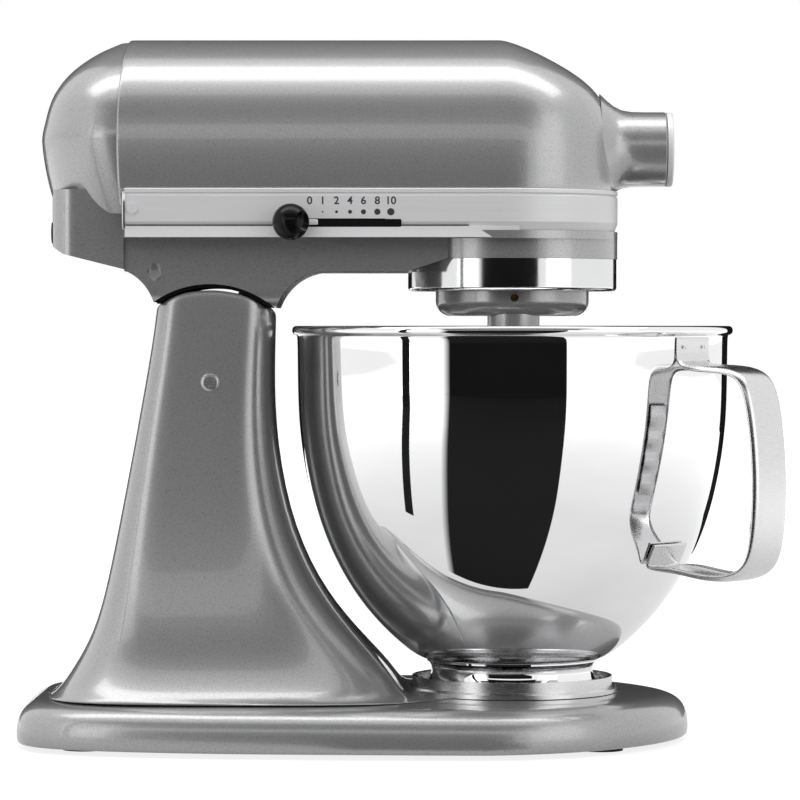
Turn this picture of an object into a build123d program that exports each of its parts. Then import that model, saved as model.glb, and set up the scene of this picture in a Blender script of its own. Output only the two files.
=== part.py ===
"""Tilt-head stand mixer, one solid per physical piece, in millimetres.

+X is the front, where the attachment hub is, +Z is up, and the origin is on the worktop, on the
vertical axis that the bowl and the planetary drive share.
"""

import math
import os

from build123d import *

os.makedirs("parts", exist_ok=True)

# Fits between pieces
RUNNING = 0.05  # radial gap of a shaft in its bearing
SEAT = 0.15  # gap between pieces of one assembly that only rest on each other
FREE = 0.3  # gap between pieces that move past each other

# Base and pedestal
base_tip_x = 89.0
base_rear_x = -247.5
base_half_width = 111.0
base_bottom_z = 2.5
base_edge_round = 13.0
base_shoulder_x = -112.0  # where the sides begin to close in towards the rear
base_taper = 31.0  # how much narrower each side is at the rear
base_rear_corner = 40.0
base_wall = 4.5
pad_top_z = 24.0  # flat pad that carries the bowl clamp plate
pedestal_top_z = 214.0
pedestal_half_width = 43.0
foot_radius = 11.0
foot_height = 6.0

# Tilt hinge
pin_x = -150.6
pin_z = 180.6
pin_radius = 5.0
seam_radius = 46.4  # convex top of the pedestal, round the pin
seam_gap = 2.2
lug_half_width = 20.0
lug_hub_radius = 13.0
cheek_boss_radius = 12.0

# Head
nose_x = -7.0  # axis of the rounded nose
saddle_top = 229.5
lug_lean = 24.5  # degrees that the hinge lug leans forward
head_back_x = -193.0
head_half_width = 59.3
head_wall = 3.2
shoulder_z = 301.0
head_top_z = 352.7
seam_z = 267.0  # joint of the upper and lower housings, behind the trim band
band_low_z = 255.6
band_high_z = 274.5
band_proud = 0.8
band_depth = 1.6  # depth of the recess that the band lies in
ledge_low_z = 251.6
belly_z = 235.5
belly_half_width = 46.0
cover_depth = 44.0  # rear dome
cover_wall = 3.0
cover_step = 1.6
cover_box_half_width = 46.0
cover_box_low_z = 243.0

# Planetary drive
collar_radius = 53.0  # lower nose of the head
collar_low_z = 242.0
spigot_low_z = 229.0
bearing_outer = 13.0
pinion_low_z = 267.0
wheel_shaft_radius = 4.0
ring_low_z = 226.0  # drip ring
ring_outer = 52.6
ring_sheet = 2.0
spigot_outer = 44.0  # skirt inside the drip ring that holds the ring gear
ring_gear_outer = 40.0
disc_radius = 38.6
disc_low_z = 213.5
disc_top_z = 227.0
module = 1.25
ring_teeth = 50
planet_teeth = 14
centre_teeth = 48
pinion_teeth = 16
bevel_teeth = 18
bevel_radius = 15.0
wheel_teeth = 24
wheel_module = 1.5
gear_width = 8.0
centre_shaft_radius = 5.0
agitator_radius = 6.35
journal_radius = 6.6  # the agitator shaft where it runs in its bush
agitator_low_z = 168.0
agitator_boss_radius = 13.0

# Attachment hub
hub_z = 297.5
hub_outer = 18.8
hub_bore = 16.0
hub_face_x = 77.5
hub_floor_x = 34.0
hub_cap = 3.2
hub_shaft_radius = 6.0
sleeve_outer = hub_shaft_radius + 2.0
socket_radius = 11.0
socket_square = 9.6
thumb_screw_x = 64.0
thumb_screw_radius = 3.0

# Motor, on the hub axis
shaft_radius = 4.0
worm_radius = 5.0
armature_radius = 24.0
field_outer = 36.0
field_bore = 25.0
field_low_x = -150.0
field_high_x = -108.0
MOTOR_WEB = (-134.0, -126.0)  # web and ribs that hold the field core
HOUSING_SCREWS = ((-178, 51.8), (-178, -51.8), (-40, 51.8), (-40, -51.8))

# Speed lever
knob_radius = 9.0
knob_x = -110.0
knob_z = 259.8
slot_low_z = 257.4
slot_high_z = 261.2
speed_travel = 41.0
lock_z = 243.0  # head lock, on the far side
LOCK_SLOT = (-96.0, -76.0)

# Bowl
rim_radius = 111.3
rim_z = 208.6
bowl_sheet = 1.4
bowl_floor_z = 39.5
foot_outer = 45.3
foot_low_z = 27.3
clamp_radius = 52.9
clamp_sheet = 3.0
handle_angle = -37.0
handle_width = 29.0
handle_sheet = 2.6
handle_reach = 154.5

BOTTOM = (Align.CENTER, Align.CENTER, Align.MIN)


def disc(radius, low, high, x=0.0, y=0.0):
    """A cylinder about a vertical axis."""
    return Pos(x, y, low) * Cylinder(radius, high - low, align=BOTTOM)


def ring(outer, inner, low, high, x=0.0, y=0.0):
    """A tube about a vertical axis."""
    return disc(outer, low, high, x, y) - disc(inner, low - 1, high + 1, x, y)


def x_rod(radius, low, high, z, y=0.0):
    """A cylinder along X."""
    return Pos(low, y, z) * Rot(0, 90, 0) * Cylinder(radius, high - low, align=BOTTOM)


def y_rod(radius, low, high, x, z):
    """A cylinder along Y."""
    return Pos(x, low, z) * Rot(-90, 0, 0) * Cylinder(radius, high - low, align=BOTTOM)


def block(x, y, z):
    """A box from its three (low, high) pairs."""
    size = [high - low for low, high in (x, y, z)]
    middle = [(high + low) / 2 for low, high in (x, y, z)]
    return Pos(*middle) * Box(*size)


def outline(points, plane=Plane.XZ):
    """A flat face from a closed list of corners."""
    return plane * make_face(Polyline(*points, close=True))


def both_sides(shape):
    """The shape and its mirror image across the mixer's middle plane."""
    return shape + mirror(shape, Plane.XZ)


def gear(teeth, tooth_module, width, low, inside=None):
    """A straight-toothed gear about Z, a tooth pointing along +X; inside makes a ring gear of that radius."""
    pitch = teeth * tooth_module / 2
    step = 360 / teeth
    inward = -1 if inside else 1
    root = pitch - inward * 1.15 * tooth_module
    tip = pitch + inward * 0.8 * tooth_module
    points = []
    for n in range(teeth):
        for radius, share in ((root, -0.30), (tip, -0.11), (tip, 0.11), (root, 0.30)):
            angle = math.radians((n + share) * step)
            points.append((radius * math.cos(angle), radius * math.sin(angle)))
    body = extrude(make_face(Polyline(*points, close=True)), width)
    if inside:
        body = disc(inside, 0, width) - body
    return Pos(0, 0, low) * body


def bevel(teeth, radius, face):
    """A 45 degree bevel gear about Z, its large end at Z = 0 and its apex at Z = radius."""

    def star(scale_by):
        points = []
        for n in range(teeth):
            for share, height in ((-0.28, 0.91), (-0.10, 1.04), (0.10, 1.04), (0.28, 0.91)):
                angle = math.radians((n + share) * 360 / teeth)
                reach = radius * height * scale_by
                points.append((reach * math.cos(angle), reach * math.sin(angle)))
        return make_face(Polyline(*points, close=True))

    small = 1 - face / radius
    return loft([star(1), Pos(0, 0, face) * star(small)], ruled=True)


nodes = {}

# ---------------------------------------------------------------- base and pedestal

# height above the pad as drawn, rear X, front X, half width, crown of the front face (hollow where
# negative), corner radius
PEDESTAL_SECTIONS = (
    (210, -177.0, -119.0, pedestal_half_width, 3.0, 16.0),
    (186, -179.8, -119.4, pedestal_half_width + 0.4, 3.0, 16.0),
    (162, -183.4, -119.9, pedestal_half_width + 1, 3.5, 16.5),
    (138, -187.5, -120.0, pedestal_half_width + 2, 4.0, 17.0),
    (114, -191.9, -117.8, pedestal_half_width + 4, 5.0, 17.5),
    (90, -196.4, -112.2, pedestal_half_width + 6.6, 6.0, 18.0),
    (66, -201.0, -101.8, pedestal_half_width + 10.4, 7.0, 19.0),
    (44, -206.0, -88.0, pedestal_half_width + 15.6, 4.0, 22.0),
    (28, -212.0, -75.5, pedestal_half_width + 21.4, -3.0, 25.0),
    (15, -220.0, -65.0, pedestal_half_width + 29, -10.0, 29.0),
    (0, -233.0, -57.0, pedestal_half_width + 41, -20.0, 34.0),
)
pedestal_drawn_rise = 210  # height that the sections are drawn for
pedestal_rise = pedestal_top_z + 18 - (pad_top_z - 2)
FOOT_PLACES = ((0, 0), (42, 58), (42, -58), (-212, 55), (-212, -55))
clamp_screw_circle = 36.0
clamp_screws = 4


def plan(inset):
    """The base seen from above: a round nose, and straight sides that close in towards a blunt rear."""
    near = base_half_width - base_taper
    side = [(base_rear_x, near), (base_shoulder_x, base_half_width - 1.5), (base_tip_x, base_half_width)]
    corners = [(x, -y) for x, y in side] + side[::-1]
    face = make_face(Polyline(*corners, close=True))
    by_x = face.vertices().sort_by(Axis.X)
    face = fillet(by_x[:2], base_rear_corner)
    shoulders = [v for v in face.vertices() if abs(v.X - base_shoulder_x) < 1]
    face = fillet(shoulders, base_half_width * 2)
    face = fillet(face.vertices().sort_by(Axis.X)[-2:], base_half_width - 2)
    return offset(face, -inset) if inset else face


def pedestal(inset):
    """The pedestal as a loft of rounded sections, its top rounded about the tilt pin."""
    sections = []
    for above_pad, rear, front, half, crown, corner in PEDESTAL_SECTIONS:
        height = pad_top_z - 2 + above_pad * pedestal_rise / pedestal_drawn_rise
        rear, front, half = rear + inset, front - inset, half - inset
        near, far = (front - crown, -half), (front - crown, half)
        edge = Line((rear, far[1]), (rear, near[1])) + Line((rear, near[1]), near)
        edge += ThreePointArc(near, (front, 0), far) + Line(far, (rear, far[1]))
        face = make_face(edge)
        sections.append(Pos(0, 0, height) * fillet(face.vertices(), corner - inset / 2))
    body = loft(sections)
    crown_radius = seam_radius - inset
    above = block((pin_x - 60, pin_x + 60), (-80, 80), (pin_z, pin_z + 80))
    return body - (above - y_rod(crown_radius, -90, 90, pin_x, pin_z))


def base_casting():
    slab = extrude(Pos(0, 0, base_bottom_z) * plan(0), pad_top_z - base_bottom_z)
    slab = fillet(slab.edges().group_by(Axis.Z)[-1], base_edge_round)
    hollow = extrude(plan(base_wall), pad_top_z - base_wall)
    body = slab - hollow + (pedestal(0) - pedestal(base_wall))
    body -= pedestal(base_wall) & block((-300, 100), (-120, 120), (10, pad_top_z + 1))
    body += disc(clamp_screw_circle + 8, pad_top_z - 10, pad_top_z - 1)
    for x, y in FOOT_PLACES:
        body += disc(foot_radius + 2, foot_height, pad_top_z - base_wall + 1, x, y)
        body -= disc(4, 0, foot_height + 7, x, y)
    for n in range(clamp_screws):
        body -= Rot(0, 0, 45 + 90 * n) * disc(2.02, 0, pad_top_z + 1, clamp_screw_circle)
    boss_low = lug_half_width + FREE
    body += both_sides(y_rod(cheek_boss_radius, boss_low, pedestal_half_width - 1, pin_x, pin_z))
    body -= y_rod(pin_radius + 0.01, -60, 60, pin_x, pin_z)
    slot = (-lug_half_width - 1, lug_half_width + 1)
    body -= block((pin_x - 24.4, pin_x + 27.4), slot, (pin_z + 24, pin_z + 60))
    set_screw_y = -(lug_half_width + 10)
    body -= x_rod(2.52, pin_x - cheek_boss_radius - 1, pin_x, pin_z, set_screw_y)
    return body


nodes["base_casting"] = base_casting()

feet = Part()
for x, y in FOOT_PLACES:
    feet += disc(foot_radius, 0, foot_height, x, y) + disc(3.9, 0, foot_height + 6, x, y)
nodes["base_feet"] = feet

pin_reach = pedestal_half_width + 2.6
pin = y_rod(pin_radius, -pin_reach, pin_reach, pin_x, pin_z)
nodes["hinge_pin"] = fillet(pin.edges().filter_by(GeomType.CIRCLE), 2.2)
nodes["hinge_pin_set_screw"] = x_rod(
    2.5, pin_x - cheek_boss_radius, pin_x - pin_radius - 0.02, pin_z, -(lug_half_width + 10)
)

# ---------------------------------------------------------------- bowl and its clamp plate

lug_count = 3
lug_span = 20.0  # degrees that a bayonet ear covers
clamp_ring_inner = foot_outer + 3.0
clamp_ring_high = pad_top_z + clamp_sheet + 5.0
hook_low = clamp_ring_high - 1.8


def wedge(outer, inner, low, high, middle, span):
    """A piece of a ring between two angles."""
    return Rot(0, 0, middle - span / 2) * revolve(
        outline(((inner, low), (outer, low), (outer, high), (inner, high))), Axis.Z, span
    )


plate = ring(clamp_radius, 18, pad_top_z, pad_top_z + clamp_sheet)
plate = chamfer(plate.edges().filter_by(GeomType.CIRCLE).group_by(Axis.Z)[-1].sort_by(SortBy.RADIUS)[-1], 1)
plate += ring(clamp_ring_inner + 2.2, clamp_ring_inner, pad_top_z + clamp_sheet, clamp_ring_high)
screws = Part()
for n in range(clamp_screws):
    turn = Rot(0, 0, 45 + 90 * n)
    plate -= turn * disc(3.75, pad_top_z + 1, pad_top_z + 9, clamp_screw_circle)
    plate -= turn * disc(2.1, pad_top_z - 1, pad_top_z + 9, clamp_screw_circle)
    head = disc(3.6, pad_top_z + 1, pad_top_z + clamp_sheet - 0.2, clamp_screw_circle)
    screws += turn * (head + disc(2, pad_top_z - 9, pad_top_z + 1, clamp_screw_circle))
ears = Part()
for n in range(lug_count):
    middle = 30 + n * 360 / lug_count
    hook = wedge(clamp_ring_inner + 0.5, foot_outer + 0.6, hook_low, clamp_ring_high, middle, lug_span + 4)
    plate += hook
    ears += wedge(
        clamp_ring_inner - FREE, foot_outer - 1, foot_low_z + 0.3, hook_low - FREE, middle, lug_span
    )
nodes["bowl_clamp_plate"] = plate
nodes["clamp_plate_screws"] = screws

# outside of the bowl wall, from the edge of its floor up to the rim; what is added to the floor's
# radius follows the rim
bowl_floor_radius = 44.0
bowl_flare = (rim_radius - bowl_floor_radius) / 67.3  # 1 for the rim that the wall is drawn for
BOWL_WALL = (
    (bowl_floor_radius, bowl_floor_z),
    (bowl_floor_radius + 11.4 * bowl_flare, bowl_floor_z + 7.5),
    (bowl_floor_radius + 33.4 * bowl_flare, bowl_floor_z + 30.3),
    (bowl_floor_radius + 50.6 * bowl_flare, bowl_floor_z + 60.7),
    (bowl_floor_radius + 59.5 * bowl_flare, bowl_floor_z + 91.0),
    (bowl_floor_radius + 64.0 * bowl_flare, bowl_floor_z + 121.5),
    (rim_radius - 3.3, rim_z - 5),
)


def bowl_face(inset):
    """Half of the space inside the bowl's outer surface, drawn in by inset."""
    points = []
    for n, (radius, height) in enumerate(BOWL_WALL):
        before, after = BOWL_WALL[max(n - 1, 0)], BOWL_WALL[min(n + 1, len(BOWL_WALL) - 1)]
        run, rise = after[0] - before[0], after[1] - before[1]
        length = math.hypot(run, rise)
        points.append((radius - inset * rise / length, height + inset * run / length))
    floor = bowl_floor_z + inset
    points[0] = (points[0][0], floor)
    top = rim_z + (1 if inset else 0)
    wall = Spline(*points)
    edge = wall + Line(wall @ 1, ((wall @ 1).X, top)) + Line(((wall @ 1).X, top), (0, top))
    edge += Line((0, top), (0, floor)) + Line((0, floor), points[0])
    return Plane.XZ * make_face(edge)


bowl_outside = revolve(bowl_face(0), Axis.Z, 360)
bowl = bowl_outside - revolve(bowl_face(bowl_sheet), Axis.Z, 360)
rim_bead = ring(rim_radius, rim_radius - 4, rim_z - 4.6, rim_z)
bowl += fillet(rim_bead.edges().filter_by(GeomType.CIRCLE).sort_by(SortBy.RADIUS)[-2:], 1.8)
nodes["bowl"] = bowl

foot = ring(foot_outer, foot_outer - 1.6, foot_low_z, bowl_floor_z - 2)
foot += ring(foot_outer, 30, bowl_floor_z - 2, bowl_floor_z)
nodes["bowl_foot_ring"] = foot + ears

# centre line of the handle strap, as distance from the bowl's axis against height
HANDLE_LINE = (
    (rim_radius - 2.2, rim_z - 5.6),
    (rim_radius - 2.2, rim_z - 17.5),
    (handle_reach - 3, rim_z - 17.5),
    (handle_reach, rim_z - 70),
    (handle_reach - 4, rim_z - 125),
    (bowl_floor_radius + 63.0 * bowl_flare, rim_z - 121.5),
    (bowl_floor_radius + 46.2 * bowl_flare, rim_z - 121.5),
    (bowl_floor_radius + 51.2 * bowl_flare, rim_z - 111.0),
)
HANDLE_BENDS = (4.0, 13.0, 90.0, 13.0, 20.0, 3.4)


def bowl_handle():
    """A strap bent to a loop in an upright plane, with a tab against the bowl at each end."""
    line = Plane.XZ * FilletPolyline(*HANDLE_LINE, radius=list(HANDLE_BENDS))
    start = Plane(line @ 0, x_dir=(0, 1, 0), z_dir=line % 0)
    strap = sweep(start * Rectangle(handle_width, handle_sheet), line)
    return Rot(0, 0, handle_angle) * (strap - bowl_outside)


nodes["bowl_handle"] = bowl_handle()

# ---------------------------------------------------------------- head shells

ROOF = ((57.2, 311.0), (53.6, 320.8), (48.0, 329.1), (40.0, 336.4),
        (30.0, 342.6), (18.0, 348.1), (7.0, 351.9))
roof_radius = 59.3  # half width that ROOF is drawn for
head_length = nose_x - head_back_x


def roof_curve(inset):
    """The head's side and roof from its widest point up to the middle line."""
    across = (head_half_width - inset) / roof_radius
    upward = (head_top_z - inset - shoulder_z) / (head_top_z - shoulder_z)
    points = [(r * across, shoulder_z + (z - shoulder_z) * upward) for r, z in ROOF]
    side, top = (head_half_width - inset, shoulder_z), (0, head_top_z - inset)
    return Spline(side, *points, top, tangents=[(0, 1), (-1, 0)])


def head_section(inset, low):
    """Half of the head's section, from a level up to the roof."""
    side = head_half_width - inset
    edge = Line((0, low), (side, low)) + Line((side, low), (side, shoulder_z)) + roof_curve(inset)
    return Plane.XZ * make_face(edge + Line((0, head_top_z - inset), (0, low)))


def bullet(section):
    """A half section swept round the nose and straight back along both sides."""
    nose = Rot(0, 0, -90) * revolve(section, Axis.Z, 180)
    side = extrude(Rot(0, 0, 90) * section, head_length, dir=(-1, 0, 0))
    return Pos(nose_x, 0, 0) * (nose + both_sides(side))


def wall_section(*points):
    """A half section for bullet from its corners as (half width, height)."""
    return outline(points)


def slot_cut():
    """The gap that the speed lever runs along, through the near side wall."""
    ends = (knob_x - 5, knob_x + speed_travel + 5)
    return block(ends, (-head_half_width - 4, -head_half_width + 5), (slot_low_z, slot_high_z))


def head_upper_housing():
    body = bullet(head_section(0, seam_z)) - bullet(head_section(head_wall, seam_z))
    recess = head_half_width - band_depth
    rim = head_half_width + 2
    groove = wall_section((recess, seam_z - 1), (rim, seam_z - 1), (rim, band_high_z), (recess, band_high_z))
    body -= bullet(groove)
    web = bullet(head_section(head_wall - 0.5, hub_z)) & block(MOTOR_WEB, (-80, 80), (hub_z, 360))
    body += web - x_rod(field_outer + SEAT, MOTOR_WEB[0] - 1, MOTOR_WEB[1] + 1, hub_z)
    body += x_rod(hub_outer, hub_floor_x - 5, hub_face_x, hub_z)
    body -= x_rod(hub_bore, hub_floor_x, hub_face_x + 1, hub_z)
    body -= x_rod(sleeve_outer + 0.01, hub_floor_x - 6, hub_floor_x + 1, hub_z)
    body += y_rod(thumb_screw_radius + 3.5, hub_bore + 1.2, hub_outer + 4, thumb_screw_x, hub_z)
    body -= y_rod(thumb_screw_radius + RUNNING, hub_bore - 2, hub_outer + 5, thumb_screw_x, hub_z)
    for x, y in HOUSING_SCREWS:
        boss = disc(5, seam_z, seam_z + 22, x, y)
        body += boss & bullet(head_section(1, seam_z))
        body -= disc(1.72, seam_z - 1, seam_z + 14, x, y)
    return body


nodes["head_upper_housing"] = head_upper_housing()

collar_step_x = -33.0  # where the belly's underside comes down behind the drip ring
floor_sheet = 3.5
tray_floor = ledge_low_z + floor_sheet
offset_y = (wheel_teeth * wheel_module) / 2 + worm_radius + wheel_module
stage = (centre_teeth + pinion_teeth) * module / 2
wheel_x, wheel_y = -math.sqrt(stage**2 - offset_y**2), offset_y
neck_screw_x, neck_screw_z = -178.0, 233.5


def belly(inset):
    """The lower housing behind its collar, seen from the side, down to the saddle over the pedestal."""
    low = belly_z + inset
    back, top = head_back_x + inset, tray_floor - 1
    edge = Line((back, top), (back, low)) + Line((back, low), (back + 1, low))
    edge += ThreePointArc((back + 1, low), (-183.0 + inset, 228.5 + inset), (-178.0 + inset, 217.5))
    edge += Line((-178.0 + inset, 217.5), (-118.0 - inset, 217.5))
    edge += ThreePointArc((-118.0 - inset, 217.5), (-110.5 - inset, 229.0 + inset), (-97.0 - inset, low))
    edge += Line((-97.0 - inset, low), (collar_step_x - 20, low))
    edge += Line((collar_step_x - 20, low), (collar_step_x, collar_low_z + inset))
    edge += Line((collar_step_x, collar_low_z + inset), (collar_step_x, top))
    edge += Line((collar_step_x, top), (back, top))
    half = belly_half_width - 2 - inset
    return extrude(Plane.XZ * make_face(edge), half, both=True)


def head_lower_housing():
    side = head_half_width
    tray = wall_section((0, ledge_low_z), (side + band_proud, ledge_low_z), (side + band_proud, band_low_z),
                        (side - band_depth, band_low_z), (side - band_depth, seam_z - SEAT),
                        (side - head_wall, seam_z - SEAT), (side - head_wall, tray_floor), (0, tray_floor))
    body = belly(0)
    body = fillet(body.edges().filter_by(Axis.X).group_by(Axis.Z)[0], 9) + bullet(tray)
    body += disc(collar_radius, collar_low_z, tray_floor)
    body -= belly(4) - block((-300, 100), (-80, 80), (0, saddle_top + 4))
    body -= y_rod(seam_radius + seam_gap, -80, 80, pin_x, pin_z)
    lug = block((-6.5, 6.5), (-lug_half_width, lug_half_width), (0, 53))
    body += Pos(pin_x, 0, pin_z) * Rot(0, lug_lean, 0) * lug
    body += y_rod(lug_hub_radius, -lug_half_width, lug_half_width, pin_x, pin_z)
    body -= y_rod(pin_radius + RUNNING, -lug_half_width - 1, lug_half_width + 1, pin_x, pin_z)
    body += disc(spigot_outer, spigot_low_z, collar_low_z + 1)
    body -= disc(ring_gear_outer + 0.01, spigot_low_z - 1, collar_low_z + 4)
    body -= disc(bearing_outer + 0.01, collar_low_z, tray_floor - 1) + disc(9, collar_low_z, tray_floor + 1)
    body += disc(7, tray_floor - 1, pinion_low_z - 3, wheel_x, wheel_y)
    body -= disc(wheel_shaft_radius + RUNNING, tray_floor, pinion_low_z, wheel_x, wheel_y)
    saddle = block(MOTOR_WEB, (-24, 24), (tray_floor - 1, hub_z - 20))
    rib_half = belly_half_width - 4
    ribs = block(MOTOR_WEB, (-rib_half, rib_half), (belly_z + 2, tray_floor))
    body += saddle + ribs - x_rod(field_outer + SEAT, MOTOR_WEB[0] - 1, MOTOR_WEB[1] + 1, hub_z)
    body -= slot_cut()
    inside = bullet(head_section(band_depth + 1, tray_floor - 1))
    for x, y in HOUSING_SCREWS:
        body += disc(5, tray_floor - 1, seam_z - SEAT, x, y) & inside
        body -= disc(1.9, ledge_low_z - 1, seam_z, x, y) + disc(3.6, ledge_low_z - 1, ledge_low_z + 3, x, y)
    body -= block(LOCK_SLOT, (belly_half_width - 8, belly_half_width), (lock_z - 2.2, lock_z + 2.2))
    return body - neck_screw(0.03, 8)


def neck_screw(grow, reach):
    """The slanting screw in the near side of the neck, with room above its head when reach is given."""
    screw = disc(2 + grow, -14, 0) + disc(3.6 + grow, -0.01, 2.2 + reach)
    return Pos(neck_screw_x, -belly_half_width + 4.5, neck_screw_z) * Rot(55, 0, 0) * screw


nodes["head_lower_housing"] = head_lower_housing()
nodes["neck_screw"] = neck_screw(0, 0)


def rear_shell(inset):
    """The rear cover's dome with the narrower box under it."""
    side = head_half_width - cover_step - inset
    low = (side - 11, shoulder_z - 37)
    edge = Line((0, low[1]), low) + ThreePointArc(low, (side - 3.2, shoulder_z - 17), (side, shoulder_z))
    edge += roof_curve(cover_step + inset)
    edge += Line((0, head_top_z - cover_step - inset), (0, low[1]))
    half = Rot(0, 0, 90) * revolve(Plane.XZ * make_face(edge), Axis.Z, 180)
    dome = scale(half, by=((cover_depth - inset) / side, 1, 1))
    box_back = -36 + inset
    box_side = [(0, belly_z + 1 + inset), (box_back + 6, cover_box_low_z + 1 + inset),
                (box_back, cover_box_low_z + 5 + inset), (box_back, shoulder_z - 25), (0, shoulder_z - 25)]
    box = extrude(outline(box_side), cover_box_half_width - inset, both=True)
    rear = box.edges().filter_by(Axis.Z).group_by(Axis.X)[0]
    return Pos(head_back_x - SEAT, 0, 0) * (dome + fillet(rear, 12 - inset))


cover_screw_z = 262.0
cover = rear_shell(0) - rear_shell(cover_wall)
cover += x_rod(5, head_back_x - 35, head_back_x - 4, cover_screw_z)
cover -= x_rod(2.1, head_back_x - 60, head_back_x, cover_screw_z)
cover -= x_rod(4, head_back_x - 60, head_back_x - 30, cover_screw_z)
for n in range(5):
    x = head_back_x - 10 - 5 * n
    cover -= block((x - 1.2, x + 1.2), (-26, 26), (belly_z - 2, cover_box_low_z + 6))
cover -= x_rod(5.5, head_back_x - 60, head_back_x - 20, cover_box_low_z + 13, 28)
nodes["rear_cover"] = cover
nodes["rear_cover_screw"] = x_rod(3.9, head_back_x - 33, head_back_x - 30.02, cover_screw_z) + x_rod(
    2, head_back_x - 31, head_back_x + 8.5, cover_screw_z)
grommet = x_rod(5.4, head_back_x - 42, head_back_x - 30, cover_box_low_z + 13, 28)
grommet += x_rod(8, head_back_x - 38.5, head_back_x - 36.4, cover_box_low_z + 13, 28)
nodes["cord_grommet"] = grommet - x_rod(3.2, head_back_x - 50, head_back_x, cover_box_low_z + 13, 28)

# ---------------------------------------------------------------- trim band and drip ring

band_out, band_in = head_half_width + band_proud, head_half_width - band_depth + 0.05
band = wall_section((band_in, band_low_z + 0.1), (band_out - 1.6, band_low_z + 0.1),
                    (band_out, band_low_z + 4.2), (band_out, band_high_z - 2.0),
                    (band_out - 1.0, band_high_z - 0.1), (band_in, band_high_z - 0.1))
nodes["trim_band"] = bullet(band) - slot_cut()
band_screw_z = (band_low_z + band_high_z) / 2 + 1
band_screws = y_rod(2.6, -band_out - 0.9, -band_out - 0.02, head_back_x + 5, band_screw_z)
band_screws += y_rod(1.2, -band_out - 0.1, -band_out + 4, head_back_x + 5, band_screw_z)
nodes["trim_band_screws"] = both_sides(band_screws)
for name in ("trim_band", "head_lower_housing", "head_upper_housing"):
    nodes[name] -= both_sides(y_rod(1.21, -band_out - 1, -band_out + 4.1, head_back_x + 5, band_screw_z))

drip = ring(ring_outer, spigot_outer + 0.1, ring_low_z, collar_low_z - SEAT)
drip_top = collar_low_z - ring_sheet - SEAT
drip -= ring(ring_outer - ring_sheet, spigot_outer - 1, ring_low_z + ring_sheet, drip_top)
drip = fillet(drip.edges().filter_by(GeomType.CIRCLE).group_by(Axis.Z)[0].sort_by(SortBy.RADIUS)[-1], 1.9)
above_slope = outline(((collar_step_x + 0.5, collar_low_z + 2), (collar_step_x + 0.5, collar_low_z - SEAT),
                       (collar_step_x - 20, belly_z - SEAT), (-70, belly_z - SEAT), (-70, collar_low_z + 2)))
nodes["drip_ring"] = drip - extrude(above_slope, 60, both=True)

# ---------------------------------------------------------------- planetary drive

planet_y = -(ring_teeth - planet_teeth) * module / 2
mesh_z = spigot_low_z + 1.5
half_step = 180 / ring_teeth

ring_gear = gear(ring_teeth, module, gear_width, mesh_z, inside=ring_gear_outer)
nodes["ring_gear"] = Rot(0, 0, -90 + half_step) * ring_gear
nodes["centre_shaft_bearing"] = ring(
    bearing_outer, centre_shaft_radius + RUNNING, collar_low_z + 4.2, tray_floor - 1.1)

hub_boss = 10.0
housing = disc(disc_radius, disc_low_z, disc_top_z)
housing = fillet(housing.edges().filter_by(GeomType.CIRCLE).group_by(Axis.Z)[0], 7.5)
housing += disc(hub_boss, disc_top_z - 1, collar_low_z + 1)
boss = disc(agitator_boss_radius, disc_low_z - 9, disc_low_z + 1, 0, planet_y)
housing += fillet(boss.edges().filter_by(GeomType.CIRCLE).group_by(Axis.Z)[0], 2)
housing -= disc(centre_shaft_radius + 0.01, disc_low_z - 1, collar_low_z + 2)
bush_outer = journal_radius + 2.4
housing -= disc(bush_outer + 0.01, disc_low_z - 10, disc_top_z + 1, 0, planet_y)
housing -= y_rod(2.01, -disc_radius - 1, disc_radius + 1, 0, disc_low_z + 9)
bush = ring(bush_outer, journal_radius + RUNNING, disc_low_z - 9, disc_top_z, 0, planet_y)
pin_cut = y_rod(2.01, -disc_radius - 1, disc_radius + 1, 0, disc_low_z + 9)
cross_pin = y_rod(2, -hub_boss, hub_boss, 0, disc_low_z + 9)
nodes["planetary_housing"] = housing
nodes["agitator_bush"] = bush - y_rod(2.3, -hub_boss - 6, hub_boss, 0, disc_low_z + 9)
nodes["planetary_pin"] = cross_pin

top_of_shaft = hub_z - bevel_radius + 9
centre_shaft = disc(centre_shaft_radius, disc_low_z + 1, top_of_shaft)
nodes["centre_shaft"] = centre_shaft - pin_cut
spur_low = pinion_low_z
hole = disc(centre_shaft_radius + 0.01, tray_floor, top_of_shaft + 5)
mesh_angle = math.degrees(math.atan2(wheel_y, wheel_x))
spur = Rot(0, 0, mesh_angle) * gear(centre_teeth, module, gear_width, spur_low)
nodes["centre_gear"] = spur + disc(9, tray_floor + 0.4, spur_low + 0.5) - hole
cone = Pos(0, 0, hub_z - bevel_radius) * bevel(bevel_teeth, bevel_radius, 6)
collar = disc(9, spur_low + gear_width, hub_z - bevel_radius + 0.2)
nodes["centre_bevel_gear"] = cone + collar - hole

shaft = disc(agitator_radius, agitator_low_z, disc_low_z - 9, 0, planet_y)
shaft = chamfer(shaft.edges().group_by(Axis.Z)[0], 1)
shaft += disc(journal_radius, disc_low_z - 9, mesh_z + gear_width, 0, planet_y)
cross_z = disc_low_z - 9 - 14
cross = y_rod(2.4, planet_y - 11, planet_y + 11, 0, cross_z)
nodes["agitator_shaft"] = shaft - y_rod(2.41, planet_y - 12, planet_y + 12, 0, cross_z)
nodes["agitator_pin"] = cross
planet = Rot(0, 0, -90) * gear(planet_teeth, module, gear_width, mesh_z)
planet = Pos(0, planet_y, 0) * planet
nodes["planet_pinion"] = planet - disc(journal_radius + 0.01, mesh_z - 1, 260, 0, planet_y)

# ---------------------------------------------------------------- gear stage, hub drive and motor

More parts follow.
